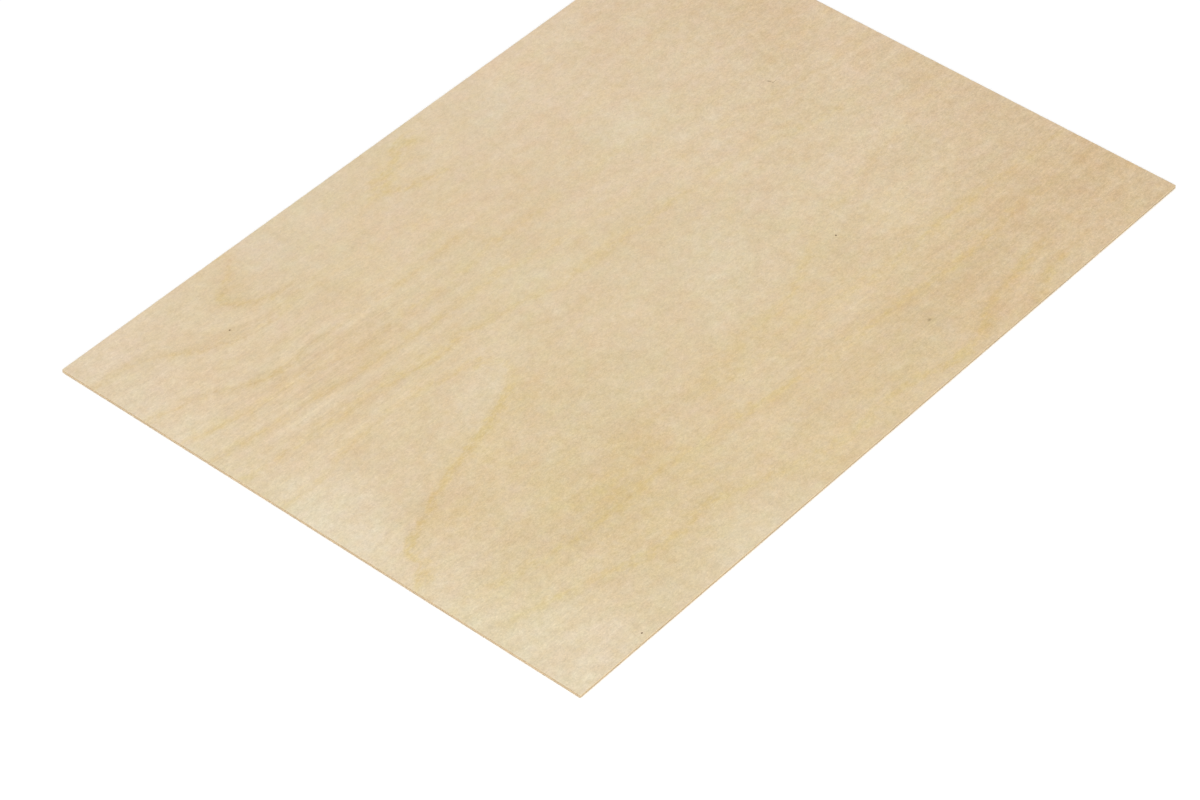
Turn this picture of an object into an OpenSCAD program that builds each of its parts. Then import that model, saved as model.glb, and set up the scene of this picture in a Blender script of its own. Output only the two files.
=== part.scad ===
// A thin rectangular sheet of plywood, cut square and lying flat with its better face up.
//
// The board is pressed, sanded and then cut as a single piece, so the sheet is one solid.
// X runs across the grain of the face and Y along it. Z is up. The back lies on Z = 0,
// with the middle of the sheet at the origin. All sizes are in millimetres.

/* [Sheet] */
// Length, along the grain of the face
sheet_length = 420; // [60:1:2500]
// Width, across the grain of the face
sheet_width = 297; // [60:1:1250]
// Thickness of the whole board
sheet_thickness = 1.5; // [0.8:0.1:30]

/* [Edges] */
// Radius of the four corners, seen from above
corner_radius = 0.5; // [0.1:0.1:5]
// Width of the bevel that light sanding leaves along each edge
bevel = 0.1; // [0.02:0.01:0.3]

/* [Hidden] */
$fn = 48;

// Outline of the sheet from above: a rectangle with round corners.
module outline() {
    corner_x = sheet_width / 2 - corner_radius;
    corner_y = sheet_length / 2 - corner_radius;
    square([2 * corner_x, sheet_length], center = true);
    square([sheet_width, 2 * corner_y], center = true);
    for (side = [-1, 1], end = [-1, 1])
        translate([side * corner_x, end * corner_y])
            circle(r = corner_radius);
}

// Upright section through the board: flat faces, square edges and a small bevel at each.
module section(span) {
    edge = span / 2;
    polygon([
        [-edge + bevel, 0],
        [edge - bevel, 0],
        [edge, bevel],
        [edge, sheet_thickness - bevel],
        [edge - bevel, sheet_thickness],
        [-edge + bevel, sheet_thickness],
        [-edge, sheet_thickness - bevel],
        [-edge, bevel]
    ]);
}

// The section across the given span, carried along Y for the given run.
module board(span, run) {
    rotate([90, 0, 0])
        linear_extrude(height = run, center = true)
            section(span);
}

module plywood_sheet() {
    color("burlywood")
        intersection() {
            linear_extrude(height = sheet_thickness) outline();
            board(sheet_width, sheet_length);
            rotate([0, 0, 90]) board(sheet_length, sheet_width);
        }
}

plywood_sheet();
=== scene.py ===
"""Finishes a thin sheet of plywood: its cut edges, its three veneers, the figure of its grain and its fibres.

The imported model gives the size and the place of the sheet. Lengths are in metres, +Y runs along the grain of
the face, X across it, and Z is up. Shares run from -1 to 1 over the width (first number) and the length
(second number).
"""
import math

import bpy
import numpy as np
from bpy.props import FloatProperty, FloatVectorProperty, IntProperty, PointerProperty
from mathutils import Matrix, Vector


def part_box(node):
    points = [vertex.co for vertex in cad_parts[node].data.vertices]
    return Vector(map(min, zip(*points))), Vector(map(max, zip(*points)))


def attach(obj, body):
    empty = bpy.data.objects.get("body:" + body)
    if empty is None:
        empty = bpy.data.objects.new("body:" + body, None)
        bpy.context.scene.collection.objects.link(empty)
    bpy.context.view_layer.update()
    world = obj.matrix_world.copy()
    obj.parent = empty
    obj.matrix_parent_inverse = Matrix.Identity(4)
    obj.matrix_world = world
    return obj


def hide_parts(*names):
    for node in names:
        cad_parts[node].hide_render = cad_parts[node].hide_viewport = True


bl_info = {
    "name": "Plywood Sheet",
    "version": (1, 0, 0),
    "blender": (4, 5, 0),
    "location": "3D View > Sidebar > Plywood",
    "description": "Makes a finished sheet of plywood around its packed model, with its stage",
    "category": "Add Mesh",
}

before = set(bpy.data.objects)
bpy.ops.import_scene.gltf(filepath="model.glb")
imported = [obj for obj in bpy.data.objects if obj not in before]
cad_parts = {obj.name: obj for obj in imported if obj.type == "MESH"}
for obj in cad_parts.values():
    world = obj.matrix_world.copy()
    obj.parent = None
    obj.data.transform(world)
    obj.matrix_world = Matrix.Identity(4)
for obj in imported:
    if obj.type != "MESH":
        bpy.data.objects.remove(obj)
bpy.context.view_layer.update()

NODE = "plywood_sheet"
BODY = "root"
MM = 0.001
PER_CENT = 0.01

LOW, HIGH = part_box(NODE)
HALF_WIDTH = (HIGH.x - LOW.x) / 2
HALF_LENGTH = (HIGH.y - LOW.y) / 2
THICKNESS = HIGH.z - LOW.z
PLIES = 3

# ----------------------------------------------------------------------------
# The figure of the face
# ----------------------------------------------------------------------------

# Lines of the growth rings where the knife cut them: level, warmth, darkness and points as shares.
# The ground between two lines lies between their levels, so the lines nest round the two flames.
RING_LINES = [
    # The flame that opens towards the near end: its left side, its tip and its bold right side.
    (3, 0.45, 0.5, [(-0.11, -0.98), (-0.11, -0.87), (-0.15, -0.76), (-0.15, -0.64), (-0.13, -0.53)]),
    (3, 0.60, 0.1, [(-0.10, -0.44), (-0.04, -0.39), (0.02, -0.41)]),
    (3, 1.00, 1.2, [(0.06, -0.47), (0.10, -0.56), (0.13, -0.65), (0.16, -0.74), (0.20, -0.81),
                    (0.24, -0.88), (0.28, -0.93), (0.34, -0.935), (0.37, -0.97), (0.39, -1.00)]),
    # The flame that opens towards the far end.
    (3, 0.38, 0.1, [(0.17, 0.95), (0.18, 0.80), (0.22, 0.66), (0.27, 0.46)]),
    (3, 0.45, 0.1, [(0.32, 0.34), (0.38, 0.24), (0.43, 0.14)]),
    (3, 0.15, 0.0, [(0.45, 0.04), (0.46, -0.08), (0.48, -0.19), (0.50, -0.08), (0.50, 0.04)]),
    (3, 0.35, 0.0, [(0.51, 0.17)]),
    (3, 0.45, 0.1, [(0.54, 0.30), (0.55, 0.43), (0.55, 0.60), (0.56, 0.76), (0.57, 0.95)]),
    # Left of the flames.
    (2, 0.20, 0.0, [(0.00, 0.95), (-0.01, 0.78)]),
    (2, 0.40, 0.1, [(-0.03, 0.66), (-0.07, 0.56), (-0.10, 0.42), (-0.12, 0.25), (-0.13, 0.06),
                    (-0.13, -0.06)]),
    (2, 0.50, 0.6, [(-0.17, -0.22), (-0.20, -0.35), (-0.21, -0.48), (-0.24, -0.62), (-0.25, -0.78),
                    (-0.27, -0.97)]),
    (1, 0.25, 0.0, [(-0.18, 0.95), (-0.20, 0.69), (-0.23, 0.54), (-0.24, 0.30), (-0.24, 0.12)]),
    (1, 0.40, 0.4, [(-0.27, -0.05), (-0.30, -0.19), (-0.31, -0.35), (-0.33, -0.60), (-0.36, -0.80),
                    (-0.39, -0.97)]),
    (0, 0.25, 0.0, [(-0.34, 0.92), (-0.34, 0.60), (-0.37, 0.46), (-0.41, 0.30), (-0.42, 0.12)]),
    (0, 0.45, 0.5, [(-0.41, -0.04), (-0.40, -0.30), (-0.41, -0.52), (-0.44, -0.68), (-0.46, -0.83),
                    (-0.50, -0.97)]),
    (-1, 0.05, 0.0, [(-0.52, 0.60), (-0.53, 0.30), (-0.52, 0.00)]),
    (-1, 0.35, 0.9, [(-0.50, -0.30), (-0.51, -0.50), (-0.52, -0.62), (-0.51, -0.70), (-0.57, -0.82),
                     (-0.61, -0.88), (-0.65, -0.99)]),
    (-2, 0.25, 0.0, [(-0.71, 0.73), (-0.66, 0.62), (-0.61, 0.46)]),
    (-2, 0.10, 0.0, [(-0.60, 0.20), (-0.62, -0.05)]),
    (-2, 0.25, 0.2, [(-0.64, -0.17), (-0.66, -0.28), (-0.69, -0.39), (-0.69, -0.52)]),
    (-2, 0.40, 0.9, [(-0.68, -0.63), (-0.72, -0.72), (-0.79, -0.82), (-0.84, -0.88), (-0.87, -0.98)]),
    # The small cup near the left edge, and the bend below it.
    (-3, 0.60, 0.7, [(-0.94, 0.02), (-0.91, -0.04), (-0.88, -0.12), (-0.84, -0.15), (-0.80, -0.11),
                     (-0.77, -0.05)]),
    (-3, 0.45, 0.8, [(-0.98, -0.52), (-0.91, -0.57), (-0.86, -0.63), (-0.80, -0.61), (-0.75, -0.53)]),
    # Right of the flames.
    (2, 0.32, 0.0, [(0.69, 0.97), (0.69, 0.78)]),
    (2, 0.52, 0.1, [(0.69, 0.62), (0.70, 0.46), (0.68, 0.30), (0.67, 0.14), (0.66, -0.02)]),
    (2, 0.58, 0.4, [(0.64, -0.14), (0.62, -0.26), (0.60, -0.38), (0.60, -0.62)]),
    (2, 0.52, 0.1, [(0.57, -0.76), (0.54, -0.86), (0.53, -0.98)]),
    (1, 0.15, 0.0, [(0.84, 0.95), (0.84, 0.75)]),
    (1, 0.75, 0.15, [(0.86, 0.54), (0.89, 0.43), (0.94, 0.34), (0.96, 0.25)]),
    (1, 0.60, 0.1, [(0.93, 0.16), (0.91, 0.06), (0.92, -0.10), (0.87, -0.21)]),
    (1, 0.55, 0.3, [(0.84, -0.31), (0.79, -0.42), (0.79, -0.62), (0.75, -0.72), (0.71, -0.82),
                    (0.68, -0.89)]),
    (1, 0.28, 0.0, [(0.66, -0.98)]),
    (0, 0.60, 0.1, [(0.93, 0.61), (0.96, 0.56), (1.00, 0.51)]),
]
# Levels of open ground, which shape the rings but draw no line.
RING_GROUND = [
    (0.12, -0.95, 3.5), (0.05, -0.65, 3.35), (0.38, 0.90, 3.5), (0.42, 0.50, 3.4), (0.30, -0.25, 2.6),
    (0.98, -0.95, 0.3), (-0.95, -0.98, -2.6), (-0.97, 0.90, -2.8), (-0.84, 0.20, -3.4),
    (-0.97, -0.30, -3.4),
]
# Places where a line that passes stays faint.
RING_QUIET = [
    (-0.81, -0.21), (-0.81, -0.30), (-0.79, -0.38), (-0.76, -0.44), (-0.78, 0.42), (-0.73, 0.25),
    (-0.74, 0.08), (-0.84, 0.60), (-0.84, -0.26), (-0.76, -0.30), (-0.95, 0.20), (0.93, 0.75), (0.93, 0.92),
    (0.97, 0.40), (0.99, 0.10), (-0.95, -0.80), (0.90, -0.85), (0.98, -0.60),
]

# Soft patches of the face: place and reach as shares, then how much lighter and how much yellower, in
# per cent. The broad lighter and darker ground holds painted light and shade as well as the wood's tone.
TONE_AND_LIGHT_PATCHES = [
    # Broad ground, partly the wood's tone and partly painted shade and light: the darker strip along the
    #     # right and the far end, and paler ground on the left.
    (0.88, 0.55, 0.30, 0.55, -6.5, 0.0), (0.65, 1.00, 0.45, 0.30, -4.5, 0.0),
    (-0.95, 0.25, 0.30, 0.45, 4.5, 0.0), (-0.30, 0.42, 0.30, 0.20, 2.5, 0.0),
    (0.50, 0.28, 0.28, 0.35, 0.0, 3.0), (0.97, -0.15, 0.18, 0.22, -2.0, 5.5),
    (0.90, 0.42, 0.12, 0.12, -0.5, 3.0), (0.00, 1.00, 0.90, 0.18, -2.5, 0.0),
    (0.12, 0.94, 0.05, 0.06, -4.0, 2.0), (0.80, 0.10, 0.20, 0.12, -2.0, 0.0),
    (0.97, 0.52, 0.08, 0.08, 0.0, 6.0),
    # Round and outside the two flames: the warm, darker field right of the near one, and paler places.
    (0.45, -0.55, 0.38, 0.26, -3.5, 2.0), (0.25, -0.72, 0.16, 0.10, -2.5, 0.0),
    (0.75, -0.60, 0.22, 0.30, -1.5, 5.0), (-0.20, -0.60, 0.35, 0.26, 0.0, 2.5),
    (0.05, -0.32, 0.22, 0.15, 0.0, 2.0), (-0.97, -0.55, 0.25, 0.35, 1.5, 0.0),
    (0.27, -0.79, 0.09, 0.08, -4.0, 4.0), (0.93, -0.80, 0.10, 0.10, 2.5, -2.0),
    (0.20, 0.82, 0.13, 0.18, 2.0, -1.0), (0.00, -0.52, 0.10, 0.15, 2.5, -2.0),
    (0.82, -0.88, 0.15, 0.12, 2.0, 0.0),
    # The near end is lighter, most of all inside the flame and at the corner: partly the wood, partly
    #     # painted light falling on the near end.
    (-0.60, -1.02, 0.45, 0.15, 3.5, 0.0), (0.50, -1.04, 0.60, 0.13, 2.5, 0.0),
    (-0.92, -0.98, 0.10, 0.18, 3.0, -5.0), (-0.72, -0.96, 0.06, 0.10, 1.0, -6.0),
    (-0.55, -1.00, 0.05, 0.06, 1.0, -4.0), (0.88, -0.95, 0.22, 0.25, 4.0, -5.0),
    (0.45, -1.00, 0.12, 0.12, 4.0, -2.0), (0.00, -1.10, 1.30, 0.22, 3.0, 0.0),
    # Pale clouds, and places that are less yellow.
    (-0.48, 0.38, 0.08, 0.07, 4.0, -4.0), (-0.84, 0.24, 0.06, 0.06, 3.0, -7.0),
    (-0.45, 0.23, 0.04, 0.02, 3.0, -2.0), (-0.93, -0.33, 0.10, 0.05, 3.0, -4.0),
    (-0.93, -0.46, 0.14, 0.06, 3.0, -8.0), (-0.34, -0.17, 0.05, 0.04, 4.0, 3.0),
    (-0.09, -0.37, 0.04, 0.06, 5.0, -4.0), (-0.02, -0.49, 0.06, 0.08, 3.0, -3.0),
    (-0.50, -0.44, 0.03, 0.10, 4.0, 2.0), (-0.58, -0.33, 0.06, 0.06, 3.0, 2.0),
    (0.97, -0.40, 0.12, 0.20, 4.0, -4.0), (0.20, 0.15, 0.16, 0.16, 0.0, -3.0),
    (0.07, 0.37, 0.06, 0.05, 0.0, -5.0), (-0.04, 0.27, 0.04, 0.03, 0.0, -5.0),
    (-0.32, 0.07, 0.07, 0.06, 2.0, -2.0), (-0.15, 0.44, 0.03, 0.03, 0.0, -4.0),
    (-0.26, 0.22, 0.04, 0.03, 0.0, -4.0), (0.56, 0.21, 0.05, 0.015, 4.0, 0.0),
    # Honey-coloured stains, and broad warm ground.
    (0.46, -0.74, 0.05, 0.03, -4.0, 2.0), (0.62, -0.53, 0.06, 0.06, -3.0, 0.0),
    (0.40, -0.37, 0.08, 0.05, -3.0, -2.0), (-0.13, -0.76, 0.04, 0.05, -4.0, 4.0),
    (-0.39, -0.55, 0.03, 0.05, -5.0, 3.0), (-0.40, -0.46, 0.06, 0.06, -3.0, 0.0),
    (-0.85, -0.62, 0.07, 0.04, -3.0, 4.0), (-0.74, -0.52, 0.03, 0.03, -4.0, 2.0),
    (0.48, -0.45, 0.28, 0.30, -2.0, 2.0), (-0.12, 0.03, 0.04, 0.06, -4.0, 0.0),
    (0.79, 0.30, 0.03, 0.03, -6.0, 0.0), (0.75, 0.10, 0.30, 0.60, 0.0, 3.5),
    (0.70, 0.29, 0.02, 0.10, -2.0, 0.0), (-0.50, -0.15, 0.07, 0.08, -1.0, 5.0),
    (-0.14, 0.00, 0.04, 0.12, 0.0, 4.0), (-0.45, -0.30, 0.30, 0.30, -0.5, 1.0),
    (0.39, 0.01, 0.03, 0.03, -3.0, 0.0),
]
# Strokes with a firmer rim: reach in millimetres, how much lighter and how much yellower in per cent, and
# points.
STROKES = [
    # Inside the near flame, down to the end.
    (20, 5.5, -5.0, [(-0.05, -0.94), (0.04, -0.95), (0.13, -0.96)]),
    # The warm ground right of the bold line.
    (8, -1.0, 5.0, [(0.06, -0.40), (0.13, -0.48), (0.16, -0.56), (0.19, -0.65)]),
    (9, -1.0, 2.5, [(0.20, -0.64), (0.28, -0.74), (0.34, -0.82)]),
    # The honey-coloured tongue and the stain below it.
    (9, -0.5, 4.5, [(0.42, 0.10), (0.45, 0.00), (0.46, -0.09), (0.48, -0.15)]),
    (6, 0.0, 5.0, [(0.41, -0.30), (0.44, -0.36), (0.45, -0.42), (0.50, -0.48), (0.53, -0.55)]),
    (8, -0.5, 4.5, [(0.52, -0.38), (0.56, -0.45), (0.57, -0.56), (0.48, -0.62), (0.38, -0.60),
                    (0.28, -0.59)]),
    (3.5, 0.0, 4.0, [(0.27, -0.51), (0.32, -0.48), (0.37, -0.50), (0.36, -0.54)]),
    # The corner of the dull strip, and the dark slant across it.
    (3.5, -1.5, 1.0, [(0.82, 0.48), (0.90, 0.42), (0.99, 0.33)]),
    (16, -2.5, 0.0, [(0.72, 0.95), (0.72, 0.60), (0.74, 0.40), (0.76, 0.25)]),
    (4, 0.0, 3.0, [(0.56, 0.66), (0.54, 0.56), (0.62, 0.52), (0.70, 0.60)]),
    # Light slivers.
    (2.5, 4.0, -2.0, [(0.86, -0.83), (0.82, -0.91), (0.78, -0.99)]),
    (2.5, 3.0, -1.0, [(0.68, -0.90), (0.75, -0.97)]),
    (2.6, 2.0, 0.0, [(0.15, -0.50), (0.16, -0.60), (0.20, -0.70)]),
    (2.6, 1.4, 0.0, [(0.00, 0.76), (-0.01, 0.98)]),
    (2.6, 1.4, 0.0, [(-0.14, 0.84), (-0.13, 0.99)]),
    (2.6, 1.4, 0.0, [(-0.22, 0.70), (-0.22, 0.80)]),
    (2.6, 2.0, -1.0, [(-0.51, -0.37), (-0.50, -0.53)]),
    (2.6, 1.4, 0.0, [(-0.18, -0.55), (-0.18, -0.68)]),
    (2.6, 1.4, 0.0, [(-0.56, -0.62), (-0.57, -0.72)]),
    (2.6, 1.4, 0.0, [(-0.41, -0.76), (-0.40, -0.88)]),
    (2.6, 1.2, 0.0, [(-0.60, -0.70), (-0.63, -0.80), (-0.68, -0.92)]),
    (2.6, 1.2, 0.0, [(-0.31, -0.66), (-0.32, -0.78)]),
]
# Drift of tint: place and reach as shares, then how much redder in per cent.
TINTS = [
    (0.15, 1.02, 1.20, 0.32, 1.2), (-0.88, 0.50, 0.45, 0.45, 0.9), (0.80, -0.78, 0.35, 0.26, -0.8),
    (0.20, -0.28, 0.30, 0.22, -0.5), (0.02, -0.98, 0.16, 0.12, 0.5), (0.45, -0.50, 0.32, 0.25, -0.8),
    (0.12, 0.22, 0.20, 0.20, -0.9), (0.55, -1.00, 0.65, 0.14, -1.2), (0.00, -1.00, 0.14, 0.12, -1.4),
    (-0.70, -1.00, 0.30, 0.10, -0.7), (-0.90, -0.40, 0.13, 0.13, -1.0), (-0.45, 0.36, 0.08, 0.12, -0.9),
    (-0.84, 0.22, 0.07, 0.10, -0.9), (-0.20, -0.15, 0.04, 0.20, -0.8), (-0.02, -0.46, 0.06, 0.10, -0.8),
    (0.98, -0.50, 0.09, 0.30, -1.1), (0.85, 0.55, 0.35, 0.50, 0.4), (0.95, 0.43, 0.05, 0.10, 1.2),
    (-0.55, -0.75, 0.35, 0.25, 0.3), (-0.60, 0.10, 0.15, 0.40, 0.3),
]
# Where the long streaks show: place and reach as shares, and how much.
STREAKED = [
    (-0.45, -0.72, 0.42, 0.36, 1.2), (0.30, 0.95, 0.90, 0.30, 0.6), (0.75, 0.35, 0.30, 0.55, 0.8),
    (0.85, -0.90, 0.20, 0.20, 0.7), (0.15, -0.90, 0.20, 0.15, 0.4),
]

# Pin knots: place as shares, how dark, radius in millimetres, stretch along the grain and turn in degrees.
FACE_PINS = [
    (0.350, 0.385, 0.9, 0.50, 1.0, 0), (0.796, 0.300, 0.34, 1.05, 1.6, 0),
    (-0.267, 0.700, 0.40, 0.60, 2.6, 65), (-0.747, -0.684, 0.8, 0.45, 1.2, 0),
    (0.975, -0.794, 0.9, 0.45, 1.2, 0), (0.543, -0.100, 0.5, 0.35, 1.0, 0),
    (-0.448, -0.832, 0.3, 0.40, 1.5, 0), (0.339, 0.663, 0.3, 0.40, 1.5, 0),
]
BACK_PINS = [
    (-0.55, 0.62, 0.9, 0.6, 1.2, 0), (0.30, 0.15, 0.7, 0.5, 1.5, 0), (0.72, -0.58, 0.9, 0.5, 1.0, 0),
    (-0.20, -0.35, 0.6, 0.7, 2.0, 10), (-0.78, -0.80, 0.8, 0.4, 1.2, 0), (0.10, 0.86, 0.5, 0.5, 1.0, 0),
]

# How much closer two places count along the grain than across it, when the rings are drawn.
GRAIN_PULL = 3.0
# How softly one line's strength gives way to the next one's, in square decimetres.
STRENGTH_BLUR = 0.004
# Width of one ring of the back.
BACK_RING = 0.030


def thin_plate(places, levels, at):
    """A smooth surface through the given levels at the given places, read at other places."""
    def bend(a, b):
        square = ((a[:, None, :] - b[None, :, :]) ** 2).sum(2)
        tiny = 1e-12
        return square * np.log(np.maximum(square, tiny))

    count = len(places)
    plane = np.column_stack([np.ones(count), places])
    system = np.zeros((count + 3, count + 3))
    system[:count, :count] = bend(places, places)
    system[:count, count:] = plane
    system[count:, :count] = plane.T
    weights = np.linalg.solve(system, np.concatenate([levels, np.zeros(3)]))
    return bend(at, places) @ weights[:count] + np.column_stack([np.ones(len(at)), at]) @ weights[count:]


def pulled(x, y):
    """Places in metres, drawn together along the grain, in decimetres to keep the sums well scaled."""
    return np.column_stack([x, np.asarray(y) / GRAIN_PULL]) * 10


def face_rings(x, y):
    """On the face: ring level, its slope for each millimetre, and the nearest lines' warmth and darkness."""
    marks = np.array([(u, v, level, warm, dark)
                      for level, warm, dark, points in RING_LINES for u, v in points])
    ground = np.array(RING_GROUND)
    places = np.vstack([marks[:, :2], ground[:, :2]]) * (HALF_WIDTH, HALF_LENGTH)
    places = pulled(places[:, 0], places[:, 1])
    levels = np.concatenate([marks[:, 2], ground[:, 2]])
    level = thin_plate(places, levels, pulled(x, y))
    across = thin_plate(places, levels, pulled(x + MM, y)) - level
    along = thin_plate(places, levels, pulled(x, y + MM)) - level
    shown = np.vstack([marks[:, [0, 1, 3, 4]], [(u, v, 0.0, 0.0) for u, v in RING_QUIET]])
    near = pulled(shown[:, 0] * HALF_WIDTH, shown[:, 1] * HALF_LENGTH)
    square = ((pulled(x, y)[:, None, :] - near[None, :, :]) ** 2).sum(2)
    weight = 1 / (square + STRENGTH_BLUR) ** 3
    warmth, darkness = (weight @ shown[:, 2:] / weight.sum(1)[:, None]).T
    return level, np.hypot(across, along), warmth, darkness


def back_rings(x, y, seed):
    """A plainer figure for the back: long lines that wander, from a few waves."""
    def level_at(px, py):
        bends = 1.3 * wander(px, py, seed, 0.25, 4.0)
        return px / BACK_RING + bends + 0.5 * wander(px, py, seed + 1, 0.09, 4.0)

    level = level_at(x, y)
    slope = np.hypot(level_at(x + MM, y) - level, level_at(x, y + MM) - level)
    strength = np.clip(0.40 + 0.25 * wander(x, y, seed + 2, 0.12, 3.0), 0.1, 0.8)
    return level, slope, strength, strength * 0.6


def fall_off(x, y, u, v, reach_u, reach_v):
    """How much of a soft patch is at each place, from 0 to 1."""
    return np.exp(-((x / HALF_WIDTH - u) / reach_u) ** 2 - ((y / HALF_LENGTH - v) / reach_v) ** 2)


def far_from(x, y, points):
    """Distance in metres from each place to a path whose points are shares."""
    nearest = np.full(len(x), np.inf)
    path = np.array(points) * (HALF_WIDTH, HALF_LENGTH)
    for start, end in zip(path[:-1], path[1:]):
        run = end - start
        share = np.clip(((x - start[0]) * run[0] + (y - start[1]) * run[1]) / (run @ run), 0, 1)
        nearest = np.minimum(nearest, np.hypot(x - start[0] - share * run[0], y - start[1] - share * run[1]))
    return nearest


def patches(x, y):
    """How much lighter, yellower and redder the face is at each place, in per cent. The lightness holds
    painted light and shade as well as the wood's tone.
    """
    lighter, yellower = np.zeros(len(x)), np.zeros(len(x))
    for u, v, reach_u, reach_v, light, yellow in TONE_AND_LIGHT_PATCHES:
        fall = fall_off(x, y, u, v, reach_u, reach_v)
        lighter += light * fall
        yellower += yellow * fall
    for reach, light, yellow, points in STROKES:
        fall = np.exp(-(far_from(x, y, points) / (reach * MM)) ** 4)
        lighter += light * fall
        yellower += yellow * fall
    redder = sum(red * fall_off(x, y, *where) for *where, red in TINTS)
    return lighter, yellower, redder


# ----------------------------------------------------------------------------
# Seeded noise for shapes
# ----------------------------------------------------------------------------


def wander(x, y, seed, longest, stretch):
    """A smooth random field from -1 to 1 with waves up to the longest length, stretched along the grain."""
    rng = np.random.default_rng(seed)
    total = np.zeros(len(x))
    waves = 14
    limit = 1.6
    for _ in range(waves):
        length = longest * rng.uniform(0.35, 1.0)
        turn = rng.uniform(0, math.tau)
        kx, ky = math.cos(turn) / length, math.sin(turn) / (length * stretch)
        total += np.cos(math.tau * (kx * x + ky * y) + rng.uniform(0, math.tau))
    return np.clip(total / math.sqrt(waves), -limit, limit) / limit


def ripple(along, whole, spacing, rng):
    """Smooth noise from 0 to 1 along a closed path, with one random value for each spacing."""
    count = max(4, round(whole / spacing))
    values = rng.random(count)
    place = along / whole * count
    first = np.floor(place).astype(int)
    part = place - first
    part = part * part * (3 - 2 * part)
    return values[first % count] * (1 - part) + values[(first + 1) % count] * part


def nicks(along, whole, count, shortest, longest, rng):
    """Small breaks along a closed path, from 0 to 1, each with a random place and length."""
    total = np.zeros(len(along))
    for _ in range(count):
        centre = rng.random() * whole
        half = rng.uniform(shortest, longest) / 2
        depth = rng.uniform(0.3, 1.0)
        gap = np.abs((along - centre + whole / 2) % whole - whole / 2)
        total = np.maximum(total, depth * np.clip(1 - gap / half, 0, 1) ** 0.7)
    return total


# ----------------------------------------------------------------------------
# The board's mesh
# ----------------------------------------------------------------------------


def side_points(half_span, radius, steps, corner_steps):
    """Points along one side with half a corner at each end: distance along it, depth inside it, and lean."""
    turn = np.linspace(math.pi / 4, 0, corner_steps + 1)
    inner = half_span - radius
    straight = np.linspace(-inner, inner, steps - 2 * corner_steps + 1)[1:-1]
    arc = -inner - radius * np.sin(turn)
    depth = radius - radius * np.cos(turn)
    along = np.concatenate([arc, straight, -arc[::-1]])
    inside = np.concatenate([depth, np.zeros(len(straight)), depth[::-1]])
    lean = np.concatenate([-turn, np.zeros(len(straight)), turn[::-1]])
    return along, inside, lean


def spun(turn, x, y):
    """Places turned about the middle of the sheet."""
    return np.column_stack([x * math.cos(turn) - y * math.sin(turn), x * math.sin(turn) + y * math.cos(turn)])


def loop_round(half_x, half_y, radius, steps_x, steps_y, corner_steps):
    """A closed loop round the sheet, anticlockwise from above: places, outward directions and sides."""
    places, outward, side = [], [], []
    for number in range(4):
        across = number % 2 == 1
        half_span, half_depth, steps = (half_y, half_x, steps_y) if across else (half_x, half_y, steps_x)
        along, inside, lean = side_points(half_span, radius, steps, corner_steps)
        turn = number * math.pi / 2
        places.append(spun(turn, along[:-1], -(half_depth - inside[:-1])))
        outward.append(spun(turn, np.sin(lean[:-1]), -np.cos(lean[:-1])))
        side.append(np.full(steps, number))
    return np.vstack(places), np.vstack(outward), np.concatenate(side)


class Skin:
    """Vertices and faces of a mesh while it is being built."""

    def __init__(self):
        self.places = []
        self.zones = []
        self.knots = []
        self.faces = []
        self.finishes = []

    def points(self, places, zone, knot=0.0):
        """Adds vertices with their zone and how much of a pin knot they hold, and returns their numbers."""
        first = len(self.places)
        self.places.extend([float(n) for n in place] for place in places)
        self.zones.extend([zone] * len(places))
        self.knots.extend([knot] * len(places))
        return list(range(first, len(self.places)))

    def face(self, corners, finish, turned=False):
        self.faces.append(tuple(corners[::-1] if turned else corners))
        self.finishes.append(finish)

    def stitch(self, inner, outer, finish, turned=False):
        """Joins a loop to the loop round it, which has as many vertices or a few times as many."""
        share = len(outer) // len(inner)
        half = share // 2
        for i, a in enumerate(inner):
            b = inner[(i + 1) % len(inner)]
            fan = [outer[(i * share + k) % len(outer)] for k in range(share + 1)]
            for k in range(half):
                self.face((a, fan[k], fan[k + 1]), finish, turned)
            middle = (a, fan[half], fan[half + 1], b) if share % 2 else (a, fan[half], b)
            self.face(middle, finish, turned)
            for k in range(share - half, share):
                self.face((b, fan[k], fan[k + 1]), finish, turned)


FACE, EDGE, BACK = 0, 1, 2
# Rings of vertices round a pin knot: radius as a share of the knot's and how much of the knot is there.
PIN_RINGS = [(1.5, 0.0), (1.0, 0.25), (0.7, 0.75), (0.35, 1.0)]
PIN_SPOKES = 16
# The first spoke points at the near left vertex of the cells round the knot.
PIN_START = math.pi * 1.25


def pin_patch(skin, grid, i, j, pin, z, zone):
    """Fills the four cells round a grid vertex with fine rings, centred on a pin knot."""
    turned = zone == BACK
    u, v, dark, radius, stretch, degrees = pin
    x, y, lean = u * HALF_WIDTH, v * HALF_LENGTH, math.radians(degrees)
    rim = [grid[i - 1][j - 1], grid[i][j - 1], grid[i + 1][j - 1], grid[i + 1][j],
           grid[i + 1][j + 1], grid[i][j + 1], grid[i - 1][j + 1], grid[i - 1][j]]
    outer = None
    for reach, share in PIN_RINGS:
        size = radius * MM * reach
        places = []
        for k in range(PIN_SPOKES):
            turn = PIN_START + k * math.tau / PIN_SPOKES
            pull = (stretch - 1) * math.sin(turn + lean)
            places.append((x + size * (math.cos(turn) + pull * math.sin(lean)),
                           y + size * (math.sin(turn) + pull * math.cos(lean)), z))
        ring = skin.points(places, zone, share * dark)
        if outer is None:
            skin.stitch(rim, ring, zone, not turned)
        else:
            skin.stitch(ring, outer, zone, turned)
        outer = ring
    middle = grid[i][j]
    skin.places[middle] = [x, y, z]
    skin.knots[middle] = dark
    for k, corner in enumerate(outer):
        skin.face((middle, corner, outer[(k + 1) % PIN_SPOKES]), zone, turned)


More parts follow.
